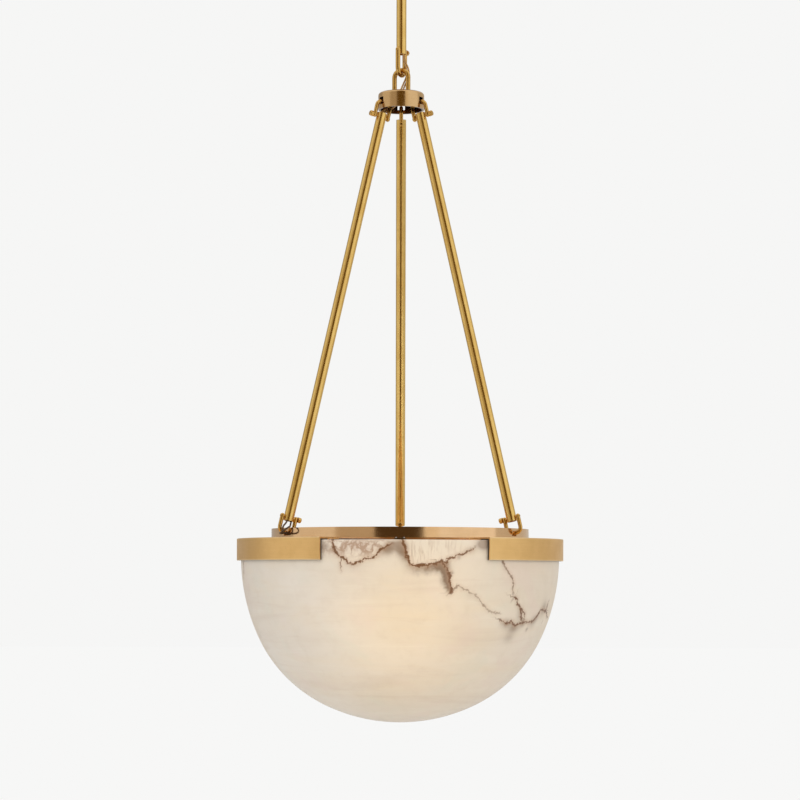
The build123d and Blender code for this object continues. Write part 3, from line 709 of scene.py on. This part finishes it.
def crackField(names, turns, heights, radii):
    # signed distance in mm to the nearest crack, its strength, which fades at its ends and away
    # from it, and its width
    best = np.full(turns.shape, np.inf)
    signed, strength, width = (np.zeros(turns.shape) for _ in range(3))
    scale = radii * math.pi / 180
    for name in names:
        points, wide, dark = cracks[name]
        path = np.array(points, float)
        pieces = np.hypot(*(np.diff(path, axis=0) * [crackLook["degree"], 1.0]).T)
        length = np.concatenate([[0], np.cumsum(pieces)])
        for (a, b), start, end in zip(zip(path[:-1], path[1:]), length[:-1], length[1:]):
            across = ((turns - a[0] + 180) % 360 - 180) * scale
            along = heights - a[1]
            runX = (b[0] - a[0]) * scale
            runZ = b[1] - a[1]
            share = np.clip((across * runX + along * runZ) / (runX**2 + runZ**2), 0, 1)
            gapX = across - share * runX
            gapZ = along - share * runZ
            gap = np.hypot(gapX, gapZ)
            nearer = gap < best
            side = np.sign(runX * gapZ - runZ * gapX)
            place = start + share * (end - start)
            tip = np.clip((length[-1] - place) / crackLook["tipFade"], 0, 1)
            root = np.clip((place + crackLook["rootLead"]) / crackLook["rootFade"], 0, 1)
            best = np.where(nearer, gap, best)
            signed = np.where(nearer, gap * np.where(side == 0, 1, side), signed)
            strength = np.where(nearer, dark * (tip * root), strength)
            width = np.where(nearer, wide, width)
    strength = strength * np.clip((crackLook["reach"] - best) / crackLook["reachFade"], 0, 1)
    return signed, strength, width


def smudge(turns, heights, radii, spots):
    # soft clouds: each (turn, height, reach round, reach down, weight) adds a bell-shaped patch
    total = np.zeros(turns.shape)
    for turn, height, reachX, reachZ, weight in spots:
        across = ((turns - turn + 180) % 360 - 180) * radii * math.pi / 180
        total += weight * np.exp(-((across / reachX) ** 2) - ((heights - height) / reachZ) ** 2)
    return total


greySpots = [
    (-26.6, -8.8, 7, 6, 0.8), (-2.1, -7.8, 12, 7, 1.0), (0.6, -10.2, 6, 9, 0.95),
    (-4.5, -13.8, 6, 5, 0.5), (30.0, -5.1, 9, 6, 1.7), (24.5, -12.4, 8, 4, 0.35),
    (20.4, -20.8, 2.8, 2.8, 0.9), (18.0, -39.6, 2.2, 2.0, 1.0), (48.6, -106.9, 10, 5, 0.9),
    (57.8, -108.6, 2.4, 2.4, 1.0), (47.4, -117.9, 11, 7, 0.5), (53.4, -101.0, 6, 4.5, 1.0),
    (43.6, -98.1, 6, 4, 0.5), (-15.3, -51.9, 40, 16, 0.1), (28.0, -120.7, 50, 20, 0.08),
    (67.6, -83.0, 9, 10, 0.75), (61.4, -95.2, 9, 5, 0.5), (120, -20, 40, 30, 0.35),
    (180, -14, 60, 22, 0.4), (240, -40, 40, 40, 0.3), (-100, -10, 40, 10, 0.3),
]
creamSpots = [
    (-16.0, -19.7, 8, 7, 1.0), (6.7, -15.0, 16, 12, 0.9), (12.2, -11.4, 14, 9, 0.7),
    (24.6, -36.3, 26, 18, 0.75), (-8.6, -13.8, 6, 5, 0.5), (35.9, -54.3, 12, 24, 0.5),
    (48.6, -76.3, 3.5, 3.5, 1.2), (10.2, -48.3, 12, 8, 0.3), (150, -20, 40, 30, 0.6),
    (220, -30, 40, 30, 0.6),
]
# places of the brown-grey shading on one side of a crack, the fine crackle and the faint strands
shadeSpots = [
    (13.6, -30.4, 10, 8, 1.0), (15.1, -38.8, 10, 9, 1.2), (15.9, -48.3, 9, 10, 1.2),
    (16.7, -57.8, 8, 9, 1.0), (6.1, -38.8, 16, 9, 0.75), (10.9, -37.6, 14, 9, 0.85),
    (2.3, -19.7, 9, 10, 0.9), (-0.7, -15.0, 8, 8, 0.8), (45.6, -101.9, 16, 8, 0.8),
    (61.1, -97.6, 12, 10, 0.7), (49.7, -87.3, 7, 10, 0.5), (-4.1, -12.6, 12, 8, 0.8),
    (-16.6, -31.6, 20, 8, 0.3), (25.2, -69.9, 16, 8, 0.3),
]
mottleSpots = [
    (-19.1, -7.7, 18, 9, 1.3), (-11.7, -10.2, 20, 9, 1.3), (-24.7, -6.4, 9, 9, 0.8),
    (-5.5, -5.5, 10, 6, 1.0), (-27.7, -12.3, 8, 8, 0.5), (200, -16, 60, 18, 0.6),
]
fanSpots = [
    (6.7, -12.6, 20, 15, 1.2), (17.9, -7.7, 14, 8, 0.7), (160, -30, 30, 24, 0.7),
]


def makeBowl():
    # a profile turned about the axis: outer arcs from the foot up, a rounded rim, inner arcs down
    outer = bowlProfile(0.0, bowl["outerStep"])
    inner = bowlProfile(bowl["wall"], bowl["innerStep"])[::-1]
    soft = bowl["rimRound"]
    bend = np.radians(np.linspace(0, 90, bowl["rimSteps"]))
    outX, outZ = outer[-1] - soft
    inX, inZ = inner[0] + [soft, -soft]
    outerEdge = np.stack([outX + soft * np.cos(bend), outZ + soft * np.sin(bend)], -1)
    innerEdge = np.stack([inX - soft * np.sin(bend), inZ + soft * np.cos(bend)], -1)
    below = bowl["rim"] - soft - bowl["rimGap"]
    keepOuter = outer[outer[:, 1] < below]
    keepInner = inner[inner[:, 1] < below]
    profile = np.concatenate([keepOuter[1:], outerEdge, innerEdge, keepInner[:-1]])
    turns = np.linspace(0, 360, bowl["columns"], endpoint=False)
    around = np.radians(turns - 90)[None, :]  # 0 degrees is the front, which faces -Y
    radius, height = profile[:, 0:1], profile[:, 1:2]
    shell = np.broadcast_arrays(radius * np.cos(around), radius * np.sin(around), height)
    grid = np.stack(shell, -1)
    # one vertex closes each pole
    foot = bowl["rim"] - bowl["depth"]
    poles = np.array([[0, 0, foot], [0, 0, foot + bowl["wall"]]])
    coords = np.concatenate([grid.reshape(-1, 3) * mm, poles * mm])
    rows, columns = grid.shape[:2]
    piece = smoothPiece("alabaster_bowl", coords.tolist(), closedFaces(rows, columns))

    def keep(name, *fields):
        # three numbers for each vertex, for the stone's pattern and for its painted glow
        values = np.stack(fields, axis=-1).astype(np.float32).ravel()
        attribute = piece.data.attributes.new(name, "FLOAT_VECTOR", "POINT")
        attribute.data.foreach_set("vector", values)

    turnsAll = np.concatenate([np.tile(turns, rows), [0, 0]])
    heights = coords[:, 2] / mm - bowl["rim"]
    radii = np.hypot(coords[:, 0], coords[:, 1]) / mm
    for group, names in crackGroups.items():
        keep(group, *crackField(names, turnsAll, heights, np.maximum(radii, 1.0)))
    glow = np.zeros(len(coords))
    for turn, reach, height in bowl["glowPlaces"]:
        angle = math.radians(turn)
        lampSpot = np.array([reach * math.cos(angle), reach * math.sin(angle), height])
        distance = np.linalg.norm(coords / mm - lampSpot, axis=1)
        glow += np.exp(-((distance / bowl["glowReach"]) ** 2))
    grey, cream, shade, mottle, fan = [
        smudge(turnsAll, heights, radii, spots)
        for spots in (greySpots, creamSpots, shadeSpots, mottleSpots, fanSpots)
    ]
    # the third number is the painted glow, where the lamps shine through the stone
    keep("clouds", grey, cream, glow)
    keep("marks", shade, mottle, fan)
    return piece


stone = {
    "ground": (0.785, 0.700, 0.600),
    # each layer: where its rise starts and ends, its share at most, its colour
    "pale": (0.34, 0.66, 1.0, (0.815, 0.735, 0.645)),
    "band": (0.42, 0.70, 0.55, (0.810, 0.705, 0.565)),
    "veilDark": (0.50, 0.74, 0.34, (0.68, 0.555, 0.45)),
    "veilPale": (0.46, 0.28, 0.40, (0.86, 0.80, 0.71)),
    "grain": (0.45, 0.75, 0.16, (0.62, 0.50, 0.39)),
    "rose": (0.52, 0.72, 0.38, (0.800, 0.660, 0.595)),
    "green": (0.46, 0.28, 0.38, (0.745, 0.715, 0.615)),
    "right": (-0.16, 0.16, 1.0, (0.965, 0.925, 0.86)),
    "foot": (-0.93, -1.03, 1.0, (1.03, 1.0, 0.945)),
    # each noise: scale, or scales along x, y and z, then detail, roughness, distortion
    "wideNoise": (9.0, 4.0, 0.55, 0.6),
    "bandNoise": ((7, 7, 30), 4.0, 0.6, 0.8),
    "fineNoise": (60.0, 5.0, 0.65, 0.0),
    "varyNoise": (40.0, 3.0, 0.6, 0.0),
    "swellNoise": (190.0, 2.0, 0.6, 0.0),
    "veilNoise": ((4.5, 4.5, 52), 5.0, 0.62, 1.1),
    "hueNoise": (15.0, 3.0, 0.55, 0.8),
    "bendNoise": (150.0, 3.0, 0.6, 0.0),
    # how cracks waver: scale, detail and mm
    "wobble": [(85.0, 3.0, 3.4), (300.0, 3.0, 5.0), (900.0, 2.0, 2.4)],
    "creamShare": 0.6,
    "creamLow": 0.55,
    "creamTone": (0.81, 0.705, 0.565),
    "strandTurn": (0, 0.35, 0),
    "strandScale": (230, 120, 34),
    "strandEdges": (0.46, 0.64),
    "strandShare": 0.60,
    "strandTone": (0.50, 0.355, 0.245),
    "crackleBend": (0.012, 0.012, 0.012),
    "crackleScale": 95.0,
    "crackleEdges": (0.20, 0.01),
    "crackleLow": 0.35,
    "crackleShare": 0.70,
    "mottleEdges": (0.36, 0.62),
    "mottleShare": 0.45,
    "mottleTone": (0.46, 0.315, 0.225),
    "smokeLow": 0.40,
    "smokeEdge": 0.25,
    "smokeFine": 0.5,
    "smokeShare": 0.80,
    "smokeTone": (0.32, 0.225, 0.16),
    "litTone": (1.0, 0.965, 0.86),
    "warmTone": (1.0, 0.75, 0.54),
    "glow": 0.24,
    "rough": 0.28,
    "fineRough": 0.14,
    "coat": 0.15,
    "fineHeight": 0.4,
    "bump": 0.10,
    "depth": 0.0006,
}
# lines of the cracks, the stain round them and the shade on one side; reaches are in mm
veins = {
    "swellLow": 0.50,
    "swellGain": 1.7,
    "swellEdges": (0.34, 0.68),
    "linePeak": 1.45,  # over 1, so that the middle of a line is solid
    "linePower": 0.8,
    "lineLow": 0.35,
    "lineVary": 1.40,
    "lineShare": 1.15,
    "lineTone": (0.185, 0.083, 0.034),
    "haloReach": 7.0,
    "haloPower": 2.0,
    "haloShare": 0.62,
    "haloTone": (0.47, 0.275, 0.155),
    "sideReach": 16.0,
    "sidePower": 1.5,
    "sideEdge": 0.8,
    "sideShare": 1.1,
    "sideTone": (0.25, 0.165, 0.105),
}


def strongest(fields):
    best = fields[0]
    for field in fields[1:]:
        best = best.largest(field)
    return best


def alabaster():
    finish = Finish("alabaster")

    def attribute(name):
        vector = finish.tree.nodes.new("ShaderNodeAttribute")
        vector.attribute_name = name
        return finish.parts(vector.outputs["Vector"])

    def noise(name):
        scale, detail, rough, distortion = stone[name]
        vector = None
        if isinstance(scale, tuple):
            scale, vector = 1.0, finish.stretch(*scale)
        return finish.noise(scale, detail, rough, vector, distortion)

    def layer(tone, field, name, blend="MIX"):
        start, end, share, colour = stone[name]
        return finish.mix(field.step(start, end) * share, tone, colour, blend)

    grey, cream, glow = attribute("clouds")
    shade, mottle, fan = attribute("marks")
    aside, _, level = finish.parts(finish.place)
    fine = noise("fineNoise")
    vary = noise("varyNoise")
    swell = noise("swellNoise").step(*veins["swellEdges"])
    swell = veins["swellLow"] + veins["swellGain"] * swell
    wobble = 0.0
    for scale, detail, size in stone["wobble"]:
        wobble = wobble + (finish.noise(scale, detail, 0.6) - 0.5) * size
    # ground: pinkish grey-cream with warmer bands and long veils
    tone = layer(stone["ground"], noise("wideNoise"), "pale")
    tone = layer(tone, noise("bandNoise"), "band")
    veil = noise("veilNoise")
    tone = layer(tone, veil, "veilDark")
    tone = layer(tone, veil, "veilPale")
    tone = layer(tone, fine, "grain")
    # patches that lean to rose or to grey-green
    hue = noise("hueNoise")
    tone = layer(tone, hue, "rose")
    tone = layer(tone, hue, "green")
    # a little warmer to the right and towards the foot
    tone = layer(tone, aside, "right", "MULTIPLY")
    tone = layer(tone, level, "foot", "MULTIPLY")
    creamShare = cream * stone["creamShare"] * (stone["creamLow"] + vary)
    tone = finish.mix(creamShare.cut(), tone, stone["creamTone"])
    # faint strands, and a crackle of fine pinkish brown lines
    turned = finish.add("ShaderNodeMapping", {}, {
        "Vector": finish.place, "Rotation": stone["strandTurn"], "Scale": stone["strandScale"],
    })
    strand = finish.noise(1.0, 4.0, 0.6, turned, 0.5).step(*stone["strandEdges"])
    tone = finish.mix((fan * strand * stone["strandShare"]).cut(), tone, stone["strandTone"])
    bent = finish.add("ShaderNodeVectorMath", {"operation": "MULTIPLY_ADD"}, {
        0: noise("bendNoise").socket.node.outputs["Color"],
        1: stone["crackleBend"],
        2: finish.place,
    })
    cell = finish.add("ShaderNodeTexVoronoi", {"feature": "DISTANCE_TO_EDGE"}, {
        "Vector": bent, "Scale": stone["crackleScale"], "Randomness": 1.0,
    })
    crackle = cell.step(*stone["crackleEdges"]) * (stone["crackleLow"] + vary)
    crackle = crackle * stone["crackleShare"]
    crackle = crackle + fine.step(*stone["mottleEdges"]) * stone["mottleShare"]
    tone = finish.mix((mottle * crackle).cut(), tone, stone["mottleTone"])
    smoke = grey * (stone["smokeLow"] + vary)
    smoke = smoke + (grey - stone["smokeEdge"]).cut() * fine * stone["smokeFine"]
    tone = finish.mix(smoke.cut() * stone["smokeShare"], tone, stone["smokeTone"])
    lines, halos, sides = [], [], []
    for group in crackGroups:
        distance, strength, width = attribute(group)
        shifted = distance + wobble
        apart = abs(shifted)
        sharp = veins["linePeak"] - veins["linePeak"] * apart / (width * swell)
        sharp = sharp.cut() ** veins["linePower"]
        near = (1 - apart / veins["haloReach"]).cut() ** veins["haloPower"]
        under = (1 + shifted / veins["sideReach"]).cut() ** veins["sidePower"]
        under = under * shifted.step(veins["sideEdge"], -veins["sideEdge"])
        lines.append(sharp * strength * (veins["lineLow"] + veins["lineVary"] * vary))
        halos.append(near * strength)
        sides.append(under * strength)
    line = strongest(lines)
    sideShare = strongest(sides) * shade * veins["sideShare"]
    tone = finish.mix(sideShare.cut(), tone, veins["sideTone"])
    tone = finish.mix((strongest(halos) * veins["haloShare"]).cut(), tone, veins["haloTone"])
    tone = finish.mix((line * veins["lineShare"]).cut(), tone, veins["lineTone"])
    # lamplight that comes through the stone: it deepens the colour and adds a warm glow
    lit = glow.cut()
    tone = finish.mix(lit, tone, stone["litTone"], "MULTIPLY")
    warm = finish.mix(1.0, tone, stone["warmTone"], "MULTIPLY")
    shine = finish.mix(lit, (0.0, 0.0, 0.0), warm)
    relief = fine * stone["fineHeight"] - line
    return finish.set(
        BaseColor=tone,
        Roughness=stone["rough"] + fine * stone["fineRough"],
        EmissionColor=shine,
        EmissionStrength=stone["glow"],
        CoatWeight=stone["coat"],
        Normal=finish.bump(relief, stone["bump"], stone["depth"]),
    )


stoneBowl = makeBowl()
stoneBowl.data.materials.append(alabaster())
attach(stoneBowl, "ring")
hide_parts("bowl")
print("bowl:", len(stoneBowl.data.polygons), "faces")


lead = {
    "radius": 1.1,
    "sides": 14,
    "guide": (0.31, 0.87, 0.37),
    "order": 3,
    "resolution": 10,
    "linkMiddle": -200.9,
    # two conductors for each stretch, as points in mm that a spline follows
    "canopy": [
        [
            (17.01, 20.56, -8.0), (14.77, 16.09, -8.0), (10.02, 8.4, -7.2), (4.34, 2.86, -9.5),
            (0.85, 1.03, -16.5), (0.58, 1.16, -25.7),
        ],
        [
            (-17.01, -20.56, -8.0), (-14.77, -16.09, -8.0), (-10.02, -8.4, -7.2),
            (-4.34, -2.86, -9.5), (-0.85, -1.03, -16.5), (-0.58, -1.16, -25.7),
        ],
    ],
    "rod": [
        [
            (0.58, 1.16, -26.9), (0.58, 1.16, -60.0), (3.53, -0.32, -91.0), (3.53, -0.32, -184.3),
        ],
        [
            (-0.58, -1.16, -26.9), (-0.58, -1.16, -60.0), (2.37, -2.64, -91.0),
            (2.37, -2.64, -184.3),
        ],
    ],
    "link": [
        [
            (3.53, -0.32, -184.4), (3.53, -0.32, -189.3), (5.3, 0.6, -196.3), (9.7, 2.0, -205.0),
            (9.5, 2.6, -214.0), (5.2, 1.6, -224.0), (1.3, 0.2, -233.3), (1.3, 0, -237.2),
        ],
        [
            (2.37, -2.64, -184.4), (2.37, -2.64, -189.3), (3.1, -1.4, -196.3), (7.1, 1.3, -205.5),
            (6.9, 1.9, -214.0), (2.6, 1.0, -223.5), (-1.3, 0.2, -232.8), (-1.3, 0, -237.2),
        ],
    ],
    "hub": [
        [
            (1.3, 0, -237.3), (1.3, 0, -243.0), (-6.36, 0.02, -251.0), (-15.72, -3.77, -258.1),
            (-21.9, -7.68, -261.3), (-24.74, -10.36, -263.87),
        ],
        [
            (-1.3, 0, -237.3), (-1.3, 0, -242.0), (-8.73, -0.88, -249.5), (-17.89, -5.02, -256.0),
            (-23.82, -9.14, -259.9), (-26.92, -11.62, -263.23),
        ],
    ],
    "tube": [
        [
            (-24.9, -10.57, -264.84), (-27.48, -12.05, -276.47), (-132.3, -80.19, -765.17),
            (-133.09, -80.07, -773.27), (-134.16, -80.69, -778.11),
        ],
        [
            (-27.08, -11.83, -264.19), (-29.66, -13.31, -275.82), (-134.48, -81.45, -764.53),
            (-137.62, -82.69, -771.93), (-138.69, -83.31, -776.77),
        ],
    ],
    "bend": [
        [
            (-134.2, -80.71, -778.3), (-135.4, -81.41, -783.73), (-135.85, -85.71, -787.81),
            (-136.22, -100.47, -788.21), (-146.39, -101.84, -795.41), (-149.09, -89.77, -797.01),
            (-137.89, -84.17, -794.91), (-127.93, -78.42, -794.91),
        ],
        [
            (-138.74, -83.33, -776.97), (-139.93, -84.02, -782.39), (-144.78, -89.83, -787.61),
            (-144.79, -91.22, -793.41), (-141.81, -88.57, -797.71), (-137.89, -84.17, -797.61),
            (-127.93, -78.42, -797.61),
        ],
    ],
    "bowl": [
        [
            (-127.6, -78.2, -794.91), (-118.38, -72.96, -798.83), (-105.59, -65.12, -802.76),
            (-72.81, -43.89, -802.76), (-40.15, -24.45, -802.76), (-20.13, -13.13, -802.76),
            (-14.07, -9.63, -803.06), (-11.47, -8.13, -808.76), (-10.78, -7.73, -815.26),
        ],
        [
            (-127.6, -78.2, -797.61), (-119.98, -70.19, -800.18), (-107.19, -62.35, -802.76),
            (-74.11, -41.63, -802.76), (-41.45, -22.2, -802.76), (-21.43, -10.87, -802.76),
            (-15.37, -7.37, -803.06), (-12.77, -5.87, -808.76), (-12.08, -5.47, -815.26),
        ],
    ],
}


def splineLine(points):
    # points along a smooth spline whose control points are the route's
    curve = bpy.data.curves.new("route", "CURVE")
    curve.dimensions = "3D"
    spline = curve.splines.new("NURBS")
    spline.points.add(len(points) - 1)
    flat = np.concatenate([np.array(points) * mm, np.ones((len(points), 1))], axis=1)
    spline.points.foreach_set("co", flat.ravel())
    spline.order_u = lead["order"]
    spline.use_endpoint_u = True
    spline.resolution_u = lead["resolution"]
    holder = bpy.data.objects.new("route", curve)
    bpy.context.scene.collection.objects.link(holder)
    bpy.context.view_layer.update()
    mesh = bpy.data.meshes.new_from_object(holder)
    line = np.zeros(len(mesh.vertices) * 3)
    mesh.vertices.foreach_get("co", line)
    bpy.data.objects.remove(holder)
    bpy.data.meshes.remove(mesh)
    bpy.data.curves.remove(curve)
    return line.reshape(-1, 3)


def tubeAlong(name, lines, radius, sides):
    # a circle carried along each line and set by one fixed direction, with a point closing each end
    coords, faces = [], []
    turn = np.linspace(0, 2 * math.pi, sides, endpoint=False)
    for line in lines:
        tangent = np.gradient(line, axis=0)
        tangent /= np.linalg.norm(tangent, axis=1)[:, None]
        first = np.cross(tangent, lead["guide"])
        first /= np.linalg.norm(first, axis=1)[:, None]
        second = np.cross(tangent, first)
        across = first[:, None] * np.cos(turn)[None, :, None]
        upward = second[:, None] * np.sin(turn)[None, :, None]
        rings = line[:, None] + radius * (across + upward)
        faces += closedFaces(len(line), sides, base=len(coords))
        coords += rings.reshape(-1, 3).tolist() + [line[0].tolist(), line[-1].tolist()]
    return smoothPiece(name, coords, faces)


def makeLead(name, lines, finish, slot):
    piece = tubeAlong(name, lines, lead["radius"] * mm, lead["sides"])
    piece.data.materials.append(finish)
    return piece


for part, body, finish, slot in (
    ("canopy", "ceiling", goldSheath, "lead_gold"),
    ("rod", "down_rod", goldSheath, "lead_gold"),
    ("hub", "hub", goldSheath, "lead_gold"),
    # the cord's stretches down the left tube and round the ring take the darker copy, as painted shade
    ("tube", "tube_left", shadedGoldSheath, "lead_brown"),
    ("bend", "tube_left", shadedGoldSheath, "lead_brown"),
    ("bowl", "ring", shadedGoldSheath, "lead_brown"),
):
    piece = makeLead(f"wires_{part}", [splineLine(points) for points in lead[part]], finish, slot)
    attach(piece, body)
    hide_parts(f"lead_{part}")

middle = lead["linkMiddle"] * mm
linkLines = [splineLine(points) for points in lead["link"]]
upperLines, lowerLines = [], []
for line in linkLines:
    cut = int(np.argmin(np.abs(line[:, 2] - middle)))
    upperLines.append(line[: cut + 1])
    lowerLines.append(line[cut:])
upperPiece = makeLead("wires_link_upper", upperLines, goldSheath, "lead_gold")
lowerPiece = makeLead("wires_link_lower", lowerLines, goldSheath, "lead_gold")
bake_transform(upperPiece)
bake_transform(lowerPiece)
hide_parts("lead_link_upper")
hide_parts("lead_link_lower")
print("leads made")
